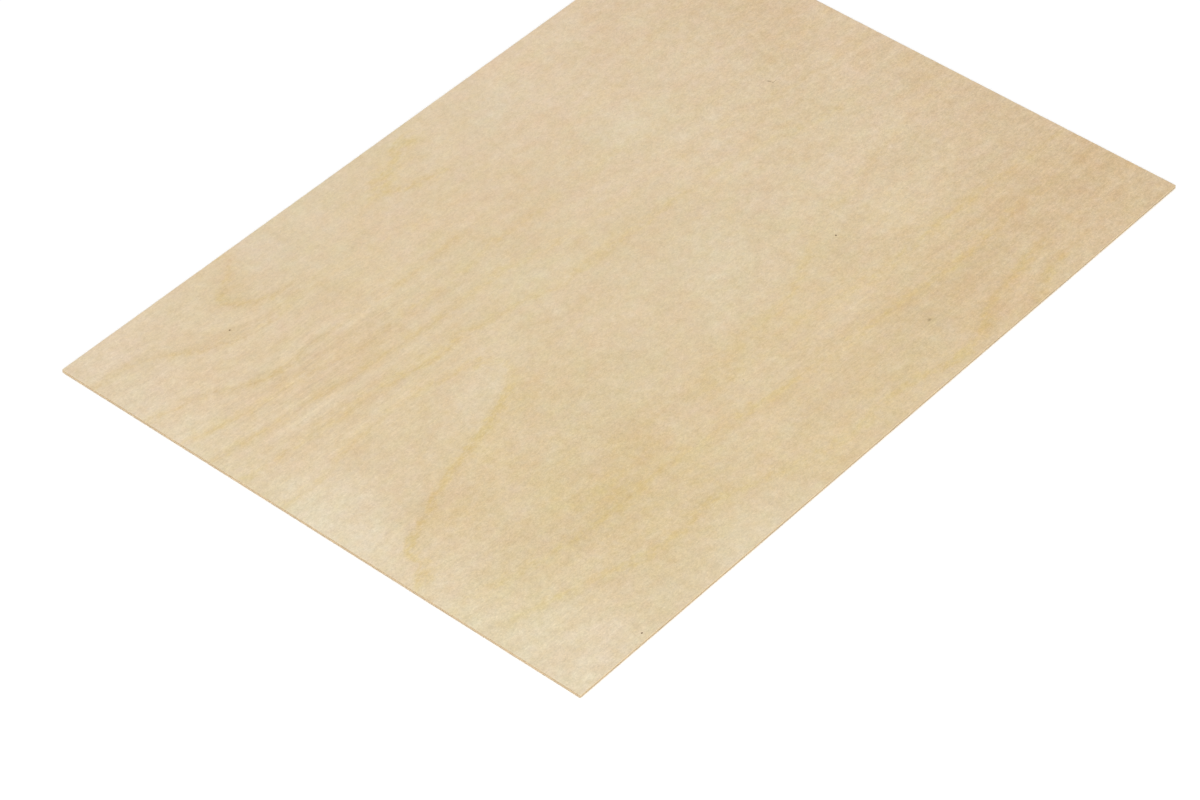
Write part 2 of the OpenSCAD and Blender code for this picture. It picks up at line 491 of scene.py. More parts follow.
def field_of_cells(skin, z, pins, half_x, half_y, cells_x, cells_y, zone):
    """The middle of the face or back: a grid of cells with a patch at each pin knot. Returns its rim."""
    xs = np.linspace(-half_x, half_x, cells_x + 1)
    ys = np.linspace(-half_y, half_y, cells_y + 1)
    grid = [skin.points([(x, y, z) for y in ys], zone) for x in xs]
    taken = set()
    for pin in pins:
        i = round((pin[0] * HALF_WIDTH + half_x) / (xs[1] - xs[0]))
        j = round((pin[1] * HALF_LENGTH + half_y) / (ys[1] - ys[0]))
        i, j = min(max(i, 1), cells_x - 1), min(max(j, 1), cells_y - 1)
        pin_patch(skin, grid, i, j, pin, z, zone)
        taken.update({(i - 1, j - 1), (i, j - 1), (i - 1, j), (i, j)})
    for i in range(cells_x):
        for j in range(cells_y):
            if (i, j) not in taken:
                cell = (grid[i][j], grid[i + 1][j], grid[i + 1][j + 1], grid[i][j + 1])
                skin.face(cell, zone, zone == BACK)
    near = [column[0] for column in grid]
    far = [column[-1] for column in grid]
    return near[:-1] + grid[-1][:-1] + far[:0:-1] + grid[0][:0:-1]


# The cut edge from the face down to the back. Each row has its depth below the face as a share of the
# thickness, how far inside the edge it lies as a share of the arris, the veneer it is on, and how much a nick
# reaches it.
FACE_VENEER, GLUE, CORE, BACK_VENEER = 0, 1, 2, 3
EDGE_ROWS = [
    (0.000, 3.0, FACE_VENEER, 0.0), (0.000, 1.0, FACE_VENEER, 0.6), (0.018, 0.3, FACE_VENEER, 1.0),
    (0.060, 0.0, FACE_VENEER, 0.8), (0.190, 0.0, FACE_VENEER, 0.1), (0.312, 0.0, FACE_VENEER, 0.0),
    (0.333, 0.6, GLUE, 0.0), (0.354, 0.1, CORE, 0.0), (0.450, 0.1, CORE, 0.0), (0.550, 0.1, CORE, 0.0),
    (0.646, 0.1, CORE, 0.0), (0.667, 0.6, GLUE, 0.0), (0.688, 0.0, BACK_VENEER, 0.0),
    (0.810, 0.0, BACK_VENEER, 0.1), (0.940, 0.0, BACK_VENEER, 0.8), (0.982, 0.3, BACK_VENEER, 1.0),
    (1.000, 1.0, BACK_VENEER, 0.6), (1.000, 3.0, BACK_VENEER, 0.0),
]
CORNER_STEPS = 3
# Between the cells and the rim the vertices grow in number by these steps, at these shares of the margin.
RIM_SHARES = (2, 3)
RIM_INSETS = (0.5, 0.22)
# The margin between the cells and the rim, as a share of a cell, and the least radius of a loop's corners.
MARGIN_SHARE = 0.8
LEAST_CORNER = 0.0002

# Nicks along the arrises: how many, the shortest and the longest, and how deep, from 0 to 1.
UPPER_END_NICKS = (150, 0.0006, 0.0025, 1.0)
LOWER_END_NICKS = (190, 0.0006, 0.0030, 1.0)
SIDE_NICKS = (90, 0.0020, 0.0090, 0.7)


def build_skin(board):
    """The closed surface of the board, still flat and straight, and what the edge rows need to be worn."""
    skin = Skin()
    margin = board.face_cell * MARGIN_SHARE
    half_x, half_y = HALF_WIDTH - margin, HALF_LENGTH - margin
    cells_x, cells_y = round(2 * half_x / board.face_cell), round(2 * half_y / board.face_cell)
    top, bottom = LOW.z + THICKNESS, LOW.z
    fine = math.prod(RIM_SHARES)

    def loop_at(inset, share):
        radius = max(board.corner_radius - inset, LEAST_CORNER)
        return loop_round(HALF_WIDTH - inset, HALF_LENGTH - inset, radius, cells_x * share, cells_y * share,
                          CORNER_STEPS if share == fine else 1)

    def skirt(z, pins, zone):
        """The middle of one face and the two loops that lead from it towards the rim."""
        rim = field_of_cells(skin, z, pins, half_x, half_y, cells_x, cells_y, zone)
        share = 1
        for step, inset in zip(RIM_SHARES, RIM_INSETS):
            share *= step
            places = loop_at(margin * inset, share)[0]
            loop = skin.points([(x, y, z) for x, y in places], zone)
            skin.stitch(rim, loop, zone, zone == BACK)
            rim = loop
        return rim

    places, outward, side = loop_at(0.0, fine)
    step = np.hypot(*(np.roll(places, -1, 0) - places).T)
    along = np.concatenate([[0.0], np.cumsum(step)[:-1]])
    upper = skirt(top, FACE_PINS, FACE)
    rows = []
    for number, (depth, inside, _, _) in enumerate(EDGE_ROWS):
        xy = places - outward * inside * board.arris
        z = top - depth * THICKNESS
        zone = FACE if depth == 0 else BACK if depth == 1 else EDGE
        row = skin.points([(x, y, z) for x, y in xy], zone)
        skin.stitch(upper, row, FACE if number < 2 else BACK if number == len(EDGE_ROWS) - 1 else EDGE)
        rows.append(row)
        upper = row
    lower = skirt(bottom, BACK_PINS, BACK)
    skin.stitch(lower, upper, BACK, turned=True)
    return skin, rows, outward, side, along, step.sum()


def wear_edges(places, rows, outward, side, along, whole, board, margin):
    """Roughens the cut edges: the saw's ripple, fuzzy end grain, smooth long grain, and nicks.

    Everything goes inwards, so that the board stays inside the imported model's box."""
    rng = np.random.default_rng(board.seed)

    def nicks_of(count, shortest, longest, depth):
        return nicks(along, whole, count, shortest, longest, rng) * depth

    end_side = side % 2 == 0  # the two short sides, which cut the face grain across
    saw = 0.5 + 0.5 * np.sin(math.tau * along / board.saw_pitch + 2 * ripple(along, whole, 0.05, rng))
    saw *= 0.4 + 0.6 * ripple(along, whole, 0.012, rng)
    upper_nicks = np.where(end_side, nicks_of(*UPPER_END_NICKS), nicks_of(*SIDE_NICKS))
    lower_nicks = np.where(end_side, nicks_of(*LOWER_END_NICKS), nicks_of(*SIDE_NICKS))
    glue_wave = [ripple(along, whole, 0.02, rng) - 0.5 for _ in range(2)]
    veneer_rough = {v: ripple(along, whole, 0.0011, rng) for v in (FACE_VENEER, CORE, BACK_VENEER)}
    veneer_long = {v: ripple(along, whole, 0.014, rng) for v in (FACE_VENEER, CORE, BACK_VENEER)}
    end_grain = np.zeros(len(places))
    for number, (row, (depth, _, veneer, nick)) in enumerate(zip(rows, EDGE_ROWS)):
        row = np.array(row)
        middle_row = 0 < depth < 1
        cuts_across = end_side if veneer in (FACE_VENEER, BACK_VENEER) else ~end_side
        end_grain[row] = np.where(cuts_across, 1.0, 0.0)
        own = ripple(along, whole, 0.0009, rng)
        inwards = np.full(len(row), margin)
        if middle_row:
            inwards += saw * board.edge_wear * (0.9 - 0.5 * depth)
        if veneer != GLUE and middle_row:
            rough = 0.55 * veneer_rough[veneer] + 0.45 * own
            smooth = 0.7 * veneer_long[veneer] + 0.3 * own
            inwards += board.edge_wear * np.where(cuts_across, 1.2 * rough, 0.45 * smooth)
        if veneer == GLUE:
            places[row, 2] += glue_wave[0 if depth < 0.5 else 1] * THICKNESS * 0.018
            end_grain[row] = 0.5
        broken = (upper_nicks if depth < 0.5 else lower_nicks) * nick
        inwards += broken * board.nick_depth
        drop = broken * board.nick_depth * 0.5 * (1 if depth < 0.5 else -1)
        places[row, :2] -= outward * inwards[:, None]
        places[row, 2] -= drop if number not in (0, len(rows) - 1) else 0
    return end_grain


def write_attribute(mesh, name, values):
    """Stores one value or vector for each vertex."""
    values = np.asarray(values, np.float32)
    kind, field = ("FLOAT_VECTOR", "vector") if values.ndim == 2 else ("FLOAT", "value")
    mesh.attributes.new(name, kind, "POINT").data.foreach_set(field, values.ravel())


def sink_faces(places, zones, knots, board, fibre):
    """Lowers the face and raises the back by soft hollows, half a fibre's height and the knots' pits."""
    reach = 0.1 * THICKNESS
    above = 1 - np.clip((LOW.z + THICKNESS - places[:, 2]) / reach, 0, 1)
    below = 1 - np.clip((places[:, 2] - LOW.z) / reach, 0, 1)
    swell = 0.5 + 0.5 * wander(places[:, 0], places[:, 1], board.seed + 5, 0.09, 2.5)
    pit = knots * board.pin_depth
    rise = fibre.height * 0.5
    places[:, 2] -= above * (board.waviness * swell + rise + pit * (zones == FACE))
    places[:, 2] += below * (board.waviness * 0.5 * (1 - swell) + rise + pit * (zones == BACK))


def write_figure(mesh, x, y, back, seed):
    """Stores what the figure of the face says at each vertex, and plainer values on the back."""
    level, slope, warmth, darkness = np.where(back, back_rings(x, y, seed + 20), face_rings(x, y))
    lighter, yellower, redder = patches(x, y)
    streaked = 0.5 + sum(much * fall_off(x, y, *where) for *where, much in STREAKED)
    duller = 2.0 * wander(x, y, seed + 30, 0.12, 2.0)
    # The fine texture shows more to the right and towards both ends, the far end most.
    texture = (1 + 0.13 * x / HALF_WIDTH + 0.14 * (y / HALF_LENGTH) ** 2
               + 0.24 * np.clip(y / HALF_LENGTH, 0, 1) + 0.08 * fall_off(x, y, 0.35, -0.50, 0.35, 0.30))
    least_slope = 0.004
    figure = {
        "ring": level,
        "ring_slope": np.maximum(slope, least_slope),
        "ring_warmth": warmth,
        "ring_darkness": darkness,
        "redder": np.where(back, 0.0, redder),
        "streaked": np.where(back, 0.8, streaked),
        # lighter holds the patches' painted light and shade as well as the wood's tone; on the back only tone.
        "lighter": np.where(back, duller, lighter),
        "yellower": np.where(back, -duller, yellower),
        "texture": np.where(back, 1.0, texture),
    }
    for name, values in figure.items():
        write_attribute(mesh, name, values)


def write_fibre_guides(mesh, places, zones, rows, outward, side, end_grain, board):
    """Stores which way the fibres run at each vertex, how much room they have, and where they lie.

    They run along Y on the face and back. On the edges they run along the rim where the veneer's grain
    does."""
    x, y = places[:, 0], places[:, 1]
    grain = np.tile((0.0, 1.0, 0.0), (len(places), 1))
    room = HALF_LENGTH - np.abs(y)
    cover = np.where(zones == EDGE, 0.0, 1.0)
    corner = board.corner_radius + board.nick_depth
    least_room = 0.002
    for row, (depth, _, veneer, _) in zip(rows, EDGE_ROWS):
        if not 0 < depth < 1:
            continue
        row = np.array(row)
        grain[row] = np.column_stack([-outward[:, 1], outward[:, 0], np.zeros(len(row))])
        to_corner = np.where(side % 2 == 0, HALF_WIDTH - np.abs(x[row]), HALF_LENGTH - np.abs(y[row]))
        room[row] = to_corner - corner
        lies_flat = (end_grain[row] < 0.25) & (room[row] > least_room)
        cover[row] = np.where(lies_flat & (0.1 < depth < 0.9) & (veneer != GLUE), 1.0, 0.0)
    for row in (rows[0], rows[1], rows[-2], rows[-1]):
        cover[row] = 0.0
    write_attribute(mesh, "grain", grain)
    write_attribute(mesh, "fibre_room", room)
    write_attribute(mesh, "fibre_cover", cover)


def board_mesh(board, fibre):
    """The board as one closed mesh, with what its materials and its fibres read stored on the vertices."""
    skin, rows, outward, side, along, whole = build_skin(board)
    places, zones, knots = np.array(skin.places), np.array(skin.zones), np.array(skin.knots)
    end_grain = wear_edges(places, rows, outward, side, along, whole, board, fibre.height)
    sink_faces(places, zones, knots, board, fibre)
    mesh = bpy.data.meshes.new("plywood_sheet_board")
    mesh.from_pydata(places.tolist(), [], skin.faces)
    mesh.polygons.foreach_set("material_index", skin.finishes)
    mesh.polygons.foreach_set("use_smooth", [True] * len(skin.faces))
    write_figure(mesh, places[:, 0], places[:, 1], zones == BACK, board.seed)
    write_attribute(mesh, "knot", knots)
    write_attribute(mesh, "end_grain", end_grain)
    write_fibre_guides(mesh, places, zones, rows, outward, side, end_grain, board)
    mesh.validate()
    return mesh


# ----------------------------------------------------------------------------
# Node helpers
# ----------------------------------------------------------------------------


def add_node(tree, kind, settings=None, inputs=None):
    """Adds a node, with its settings by name and its inputs by name or number, each a value or an output."""
    node = tree.nodes.new(kind)
    for name, value in (settings or {}).items():
        setattr(node, name, value)
    for name, value in (inputs or {}).items():
        socket = node.inputs[name]
        value = value.socket if isinstance(value, Signal) else value
        if isinstance(value, bpy.types.NodeSocket):
            tree.links.new(value, socket)
        else:
            socket.default_value = value
    return node


class Signal:
    """A number that a node tree works out. Sums and products of signals become Math nodes."""

    def __init__(self, tree, socket):
        self.tree = tree
        self.socket = socket

    def math(self, operation, *others):
        inputs = dict(enumerate((self, *others)))
        node = add_node(self.tree, "ShaderNodeMath", {"operation": operation}, inputs)
        return Signal(self.tree, node.outputs[0])

    def __add__(self, other):
        return self.math("ADD", other)

    def __sub__(self, other):
        return self.math("SUBTRACT", other)

    def __mul__(self, other):
        return self.math("MULTIPLY", other)

    def __truediv__(self, other):
        return self.math("DIVIDE", other)

    def __rsub__(self, other):
        return self * -1.0 + other

    __radd__ = __add__
    __rmul__ = __mul__

    def mapped(self, low, high, to_low=0.0, to_high=1.0, smooth=False):
        """The signal with one range mapped to another and clamped to it."""
        settings = {"interpolation_type": "SMOOTHSTEP" if smooth else "LINEAR"}
        inputs = {"Value": self, "From Min": low, "From Max": high, "To Min": to_low, "To Max": to_high}
        return Signal(self.tree, add_node(self.tree, "ShaderNodeMapRange", settings, inputs).outputs[0])


def opaque(colour):
    """A colour with its alpha added, or a node's output as it is."""
    return colour if isinstance(colour, bpy.types.NodeSocket) else (*colour, 1.0)


class WoodShader:
    """What the board's materials share: the place in metres, noise, attributes and the final shader."""

    def __init__(self, name):
        self.material = bpy.data.materials.new(name)
        self.material.use_nodes = True
        self.tree = self.material.node_tree
        self.tree.nodes.clear()
        self.place = add_node(self.tree, "ShaderNodeTexCoord").outputs["Object"]
        self.axes = add_node(self.tree, "ShaderNodeSeparateXYZ", inputs={0: self.place}).outputs

    def texture(self, place, detail, roughness):
        node = add_node(self.tree, "ShaderNodeTexNoise", {"noise_dimensions": "3D"}, {
            "Vector": place, "Scale": 1.0, "Detail": detail, "Roughness": roughness})
        return Signal(self.tree, node.outputs[0])

    def noise(self, across, along, seed, detail=2.0, roughness=0.5, up=None):
        """Noise from about 0 to 1, with its grain size in metres across X, along Y and up Z."""
        up = across if up is None else up
        mapping = add_node(self.tree, "ShaderNodeMapping", {"vector_type": "POINT"}, {
            "Vector": self.place, "Location": (seed * 3.7, seed * 1.9, seed * 5.3),
            "Scale": (1 / across, 1 / along, 1 / up)})
        return self.texture(mapping.outputs[0], detail, roughness)

    def drift(self, *given, **named):
        """Noise from about -0.5 to 0.5, given as for noise."""
        return self.noise(*given, **named) - 0.5

    def flow_drift(self, flow, across, along, seed):
        """Noise from about -0.5 to 0.5 that follows a flow, which is a distance across the grain."""
        y = Signal(self.tree, self.axes["Y"])
        place = add_node(self.tree, "ShaderNodeCombineXYZ", inputs={
            0: flow / across, 1: y / along, 2: seed * 4.1})
        return self.texture(place.outputs[0], 1.0, 0.6) - 0.5

    def attribute(self, name):
        node = add_node(self.tree, "ShaderNodeAttribute", {"attribute_name": name})
        return Signal(self.tree, node.outputs["Fac"])

    def profile(self, signal, low, high, points):
        """A curve through the given points, read where the signal lies between low and high."""
        curve = add_node(self.tree, "ShaderNodeFloatCurve", inputs={"Value": signal.mapped(low, high)})
        line = curve.mapping.curves[0]
        for number, (x, height) in enumerate(points):
            place = ((x - low) / (high - low), height)
            if number < len(line.points):
                line.points[number].location = place
            else:
                line.points.new(*place)
        curve.mapping.update()
        return Signal(self.tree, curve.outputs[0])

    def mix(self, factor, first, second):
        """One colour where the factor is 0 and another where it is 1."""
        settings = {"data_type": "RGBA", "clamp_factor": True}
        inputs = {0: factor, 6: opaque(first), 7: opaque(second)}
        return add_node(self.tree, "ShaderNodeMix", settings, inputs).outputs[2]

    def brighter(self, colour, share):
        inputs = {0: colour, "Scale": share}
        return add_node(self.tree, "ShaderNodeVectorMath", {"operation": "SCALE"}, inputs).outputs[0]

    def deeper(self, colour, depth):
        """The colour as a thicker or thinner layer of the same stain would give it."""
        return add_node(self.tree, "ShaderNodeGamma", inputs={"Color": colour, "Gamma": depth}).outputs[0]

    def redder(self, colour, share):
        """The colour with red raised and green lowered by a share of each."""
        tint = add_node(self.tree, "ShaderNodeCombineXYZ", inputs={0: share + 1.0, 1: 1.0 - share, 2: 1.0})
        inputs = {0: colour, 1: tint.outputs[0]}
        return add_node(self.tree, "ShaderNodeVectorMath", {"operation": "MULTIPLY"}, inputs).outputs[0]

    def finish(self, colour, roughness, relief, depth, shine=0.3):
        """Closes the tree: a matt wood shader with a fine relief, whose depth is in metres."""
        bump = add_node(self.tree, "ShaderNodeBump", inputs={
            "Strength": 1.0, "Distance": depth, "Height": relief})
        shader = add_node(self.tree, "ShaderNodeBsdfPrincipled", inputs={
            "Base Color": colour, "Roughness": roughness, "Normal": bump.outputs[0],
            "Specular IOR Level": shine})
        output = add_node(self.tree, "ShaderNodeOutputMaterial", inputs={"Surface": shader.outputs[0]})
        self.tree.nodes.active = output
        return self.material


# ----------------------------------------------------------------------------
# Materials
# ----------------------------------------------------------------------------


# Width that one ring takes up, for the streaks that follow the rings.
RING_PITCH = 0.016
# How much a change of tone of 1 deepens the stain.
TONE_DEPTH = 1.62


def ring_lines(wood):
    """The warm band and the thin dark line of each growth ring, from 0 to about 1."""
    wobble = (wood.drift(0.009, 0.020, 11, 1.0) * 4.0 + wood.drift(0.0030, 0.0055, 12, 2.0) * 5.0
              + wood.drift(0.0012, 0.0020, 13, 1.0) * 1.5)
    turn = (wood.attribute("ring") + 0.5).math("FRACT") - 0.5
    # The distance from the ring's edge in millimetres: plus on the early wood's side, minus on the late
    # wood's.
    distance = turn / wood.attribute("ring_slope") + wobble
    warmth = wood.attribute("ring_warmth")
    darkness = wood.attribute("ring_darkness")
    band = wood.profile(distance, -7.0, 5.0, [
        (-7, 0.0), (-5, 0.12), (-2.6, 0.60), (-0.8, 1.0), (1.0, 0.72), (2.4, 0.18), (3.6, 0.02), (5, 0.0)])
    wide = wood.profile(distance, -5.5, 4.0, [
        (-5.5, 0.0), (-3.4, 0.25), (-1.8, 0.75), (-0.2, 1.0), (1.0, 0.80), (2.2, 0.20), (4, 0.0)])
    thin = wood.profile(distance, -3.0, 3.0, [
        (-3, 0.0), (-1.3, 0.08), (-0.5, 0.85), (0.0, 1.0), (0.5, 0.85), (1.2, 0.06), (3, 0.0)])
    broken = wood.noise(0.0028, 0.0055, 14, 2.0, 0.6).mapped(0.34, 0.66, 0.15, 1.55)
    fading = wood.noise(0.040, 0.060, 15, 1.0).mapped(0.36, 0.64, 0.7, 1.2)
    dots = wood.noise(0.0010, 0.0024, 16, 1.0).mapped(0.38, 0.62, 0.25, 1.2)
    # The less warm a line is, the thinner it is.
    dark = (thin * (0.9 - warmth * 0.75) + wide * warmth * 0.75) * darkness * dots
    return band * warmth * fading * broken, dark * fading


def sanded_veneer(name, figure, colours, seed, dull=0.0):
    """A sanded rotary-cut veneer, seen on its flat side."""
    wood = WoodShader(name)
    band, line = ring_lines(wood)
    streaked = wood.attribute("streaked")
    coarse = wood.attribute("texture") * streaked.mapped(0.6, 1.8, 1.0, 0.86)
    cloud = wood.drift(0.020, 0.030, seed + 1, 2.0, 0.6)
    mottle = wood.drift(0.0050, 0.0062, seed + 2, 2.0, 0.7)
    # Streaks and stripes follow the rings, so they bend round the flames.
    flow = wood.attribute("ring") * RING_PITCH
    streak = wood.flow_drift(flow, 0.0011, 0.040, seed + 3)
    stripe = wood.flow_drift(flow, 0.0060, 0.090, seed + 11)
    needle = wood.drift(0.0008, 0.0080, seed + 12, 1.0)
    fleck = wood.drift(0.0010, 0.0017, seed + 4, 2.0, 0.75)
    grit = wood.drift(0.0006, 0.0008, seed + 5, 1.0, 0.8)
    # Broad changes of tone act on the colour's depth: they lie in the colour of the wood, except for the
    # painted
    #     # light and shade in the lighter attribute. Fine ones act on its brightness.
    broad = (wood.attribute("lighter") * PER_CENT + (cloud * figure.cloud + mottle * figure.mottle) * coarse
             + stripe * figure.stripe * streaked - line * figure.ring_line
             + wood.attribute("fibre_shade") * figure.fibre_light - dull)
    fine = (streak * figure.streak + needle * figure.needle) * streaked + (
        fleck * figure.fleck + grit * figure.grit) * coarse + 1.0
    hue = wood.drift(0.0100, 0.0160, seed + 8, 1.0, 0.6) + wood.drift(0.0035, 0.0045, seed + 9, 2.0, 0.7)
    ragged = wood.noise(0.0040, 0.0055, seed + 13, 2.0, 0.6).mapped(0.32, 0.68, 0.5, 1.5)
    yellow = (wood.attribute("yellower") * PER_CENT * figure.yellow_reach * ragged
              + band * figure.ring_band + hue * figure.hue + 0.54)
    blush = wood.noise(0.028, 0.040, seed + 14, 2.0, 0.7) + wood.noise(0.0055, 0.0090, seed + 15, 1.0) - 1.0
    red = blush * figure.blush + wood.attribute("redder") * PER_CENT
    colour = wood.mix(yellow, colours.pale, colours.honey)
    colour = wood.deeper(colour, 1.0 - broad * TONE_DEPTH)
    colour = wood.brighter(wood.redder(colour, red), fine)
    knot = wood.attribute("knot") * (0.6 + wood.noise(0.0004, 0.0006, seed + 10, 1.0))
    colour = wood.mix(knot.mapped(0.15, 0.85), colour, colours.knot)
    relief = streak * 0.35 + fleck * 0.6 + grit * 0.6 - line * 0.5 - knot * 0.8
    roughness = 0.66 + fleck * 0.25 - band * 0.06
    return wood.finish(colour, roughness, relief, figure.relief)


def cut_edge(colours, figure, seed):
    """The cut edge: face veneer, core and back veneer with their glue lines, as end grain or long grain."""
    wood = WoodShader("plywood_cut_edge")
    height = (Signal(wood.tree, wood.axes["Z"]) - LOW.z) / THICKNESS
    waver = wood.drift(0.012, 0.012, seed, 2.0, up=1.0) * 0.05
    ply = (height + waver) * float(PLIES)
    # How far the nearest glue line is, as a share of a veneer. The two outer faces don't count.
    to_line = (ply - 1.0).math("ABSOLUTE").math("MINIMUM", (ply - 2.0).math("ABSOLUTE"))
    broken = wood.noise(0.0009, 0.0009, seed + 1, 2.0, up=0.0003).mapped(0.30, 0.62, 0.35, 1.0)
    glue = to_line.mapped(0.17, 0.03, smooth=True) * broken
    across = wood.attribute("end_grain")
    pores = wood.noise(0.00022, 0.00022, seed + 2, 1.0, up=0.00022).mapped(0.36, 0.60)
    strands = wood.drift(0.0050, 0.0050, seed + 3, 3.0, 0.6, up=0.00012)
    patch = wood.drift(0.010, 0.010, seed + 4, 2.0, up=0.0006)
    end = wood.mix(pores, colours.pore, colours.end_grain)
    long = wood.brighter(tuple(colours.long_grain), 1.0 + strands * 0.45)
    colour = wood.brighter(wood.mix(across, long, end), 1.0 + patch * 0.35)
    colour = wood.mix(glue * 0.8, colour, colours.glue)
    relief = pores * across * 0.6 + strands * 0.8 - glue * 0.6
    return wood.finish(colour, 0.74 + strands * 0.1, relief, figure.relief * 1.4, 0.2)


# ----------------------------------------------------------------------------
# Raised fibres, made with Geometry Nodes
# ----------------------------------------------------------------------------


def fibre_tree():
    """Scatters slivers of raised grain over one finish of a board, each in the surface, along the grain."""
    tree = bpy.data.node_groups.new("raised_fibres", "GeometryNodeTree")
    tree.is_modifier = True
    tree.interface.new_socket("Board", in_out="INPUT", socket_type="NodeSocketGeometry")
    for name, kind in (("Finish", "Int"), ("Density", "Float"), ("Shortest", "Float"), ("Longest", "Float"),
                       ("Width", "Float"), ("Height", "Float"), ("Yaw", "Float"), ("Seed", "Int")):
        tree.interface.new_socket(name, in_out="INPUT", socket_type="NodeSocket" + kind)
    tree.interface.new_socket("Material", in_out="INPUT", socket_type="NodeSocketMaterial")
    tree.interface.new_socket("Fibres", in_out="OUTPUT", socket_type="NodeSocketGeometry")
    given = add_node(tree, "NodeGroupInput").outputs
    seed = Signal(tree, given["Seed"])

    def named(attribute, kind="FLOAT"):
        node = add_node(tree, "GeometryNodeInputNamedAttribute", {"data_type": kind}, {"Name": attribute})
        return next(s for s in node.outputs if s.enabled and s.name == "Attribute")

    def random(low, high, step):
        node = add_node(tree, "FunctionNodeRandomValue", {"data_type": "FLOAT"})
        floats = [s for s in node.inputs if s.type == "VALUE" and s.enabled]
        for socket, value in zip(floats, (low, high)):
            if isinstance(value, bpy.types.NodeSocket):
                tree.links.new(value, socket)
            else:
                socket.default_value = value
        tree.links.new((seed + float(step)).socket, node.inputs["Seed"])
        return Signal(tree, next(s for s in node.outputs if s.enabled))

    material_index = add_node(tree, "GeometryNodeInputMaterialIndex").outputs[0]
    on_finish = add_node(tree, "FunctionNodeCompare", {"data_type": "INT", "operation": "EQUAL"})
    ints = [s for s in on_finish.inputs if s.enabled]
    tree.links.new(material_index, ints[0])
    tree.links.new(given["Finish"], ints[1])
    density = Signal(tree, given["Density"]) * Signal(tree, named("fibre_cover"))
    scatter = add_node(tree, "GeometryNodeDistributePointsOnFaces", {"distribute_method": "RANDOM"}, {
        "Mesh": given["Board"], "Selection": on_finish.outputs[0], "Density": density, "Seed": given["Seed"]})

    along = add_node(tree, "FunctionNodeAlignRotationToVector", {"axis": "Y"},
                     {"Vector": named("grain", "FLOAT_VECTOR")})
    facing = add_node(tree, "FunctionNodeAlignRotationToVector", {"axis": "Z", "pivot_axis": "Y"},
                      {"Rotation": along.outputs[0], "Vector": scatter.outputs["Normal"]})
    yaw = random(-1.0, 1.0, 1) * Signal(tree, given["Yaw"])
    by = add_node(tree, "FunctionNodeAxisAngleToRotation", inputs={"Axis": (0.0, 0.0, 1.0), "Angle": yaw})
    turned = add_node(tree, "FunctionNodeRotateRotation", {"rotation_space": "LOCAL"},
                      {"Rotation": facing.outputs[0], "Rotate By": by.outputs[0]})

    # A fibre reaches half its length each way, so it may be just under twice as long as the room it has.
    room = (Signal(tree, named("fibre_room")) * 1.9).math("MAXIMUM", 0.0)
    length = random(given["Shortest"], given["Longest"], 2).math("MINIMUM", room)
    width = random(0.5, 1.0, 3) * Signal(tree, given["Width"])
    size = add_node(tree, "ShaderNodeCombineXYZ", inputs={0: width, 1: length, 2: given["Height"]})

    # One fibre: a slender eight-sided sliver, a metre long before it is scaled, pointed at both ends.
    sliver = add_node(tree, "GeometryNodeMeshUVSphere", inputs={"Segments": 4, "Rings": 2, "Radius": 0.5})
    laid = add_node(tree, "GeometryNodeTransform", inputs={
        "Geometry": sliver.outputs["Mesh"], "Rotation": (math.pi / 2, 0.0, 0.0)})
    fibres = add_node(tree, "GeometryNodeInstanceOnPoints", inputs={
        "Points": scatter.outputs["Points"], "Instance": laid.outputs[0],
        "Rotation": turned.outputs[0], "Scale": size.outputs[0]})
    shade = add_node(tree, "GeometryNodeStoreNamedAttribute", {"data_type": "FLOAT", "domain": "INSTANCE"},
                     {"Geometry": fibres.outputs[0], "Name": "fibre_shade"})
    lightness = next(s for s in shade.inputs if s.name == "Value" and s.enabled)
    tree.links.new(random(0.3, 1.0, 4).socket, lightness)
    real = add_node(tree, "GeometryNodeRealizeInstances", inputs={"Geometry": shade.outputs[0]})
    painted = add_node(tree, "GeometryNodeSetMaterial", inputs={
        "Geometry": real.outputs[0], "Material": given["Material"]})
    add_node(tree, "NodeGroupOutput", inputs={0: painted.outputs[0]})
    return tree


def scatter_fibres(board, name, finish, density, material, fibre, width_share, yaw_share):
    """Makes one piece of raised fibres on a board, as a plain mesh."""
    piece = bpy.data.objects.new(name, board.data.copy())
    bpy.context.scene.collection.objects.link(piece)
    tree = bpy.data.node_groups.get("raised_fibres") or fibre_tree()
    modifier = piece.modifiers.new("raised_fibres", "NODES")
    modifier.node_group = tree
    values = {"Finish": finish, "Density": density, "Shortest": fibre.shortest, "Longest": fibre.longest,
              "Width": fibre.width * width_share, "Height": fibre.height, "Yaw": fibre.yaw * yaw_share,
              "Seed": fibre.seed + finish, "Material": material}
    for socket in tree.interface.items_tree:
        if socket.in_out == "INPUT" and socket.name in values:
            modifier[socket.identifier] = values[socket.name]
    depsgraph = bpy.context.evaluated_depsgraph_get()
    mesh = bpy.data.meshes.new_from_object(piece.evaluated_get(depsgraph), preserve_all_data_layers=True,
                                           depsgraph=depsgraph)
    mesh.name = name
    piece.modifiers.remove(modifier)
    piece.data = mesh
    return piece


# ----------------------------------------------------------------------------
# Settings
# ----------------------------------------------------------------------------


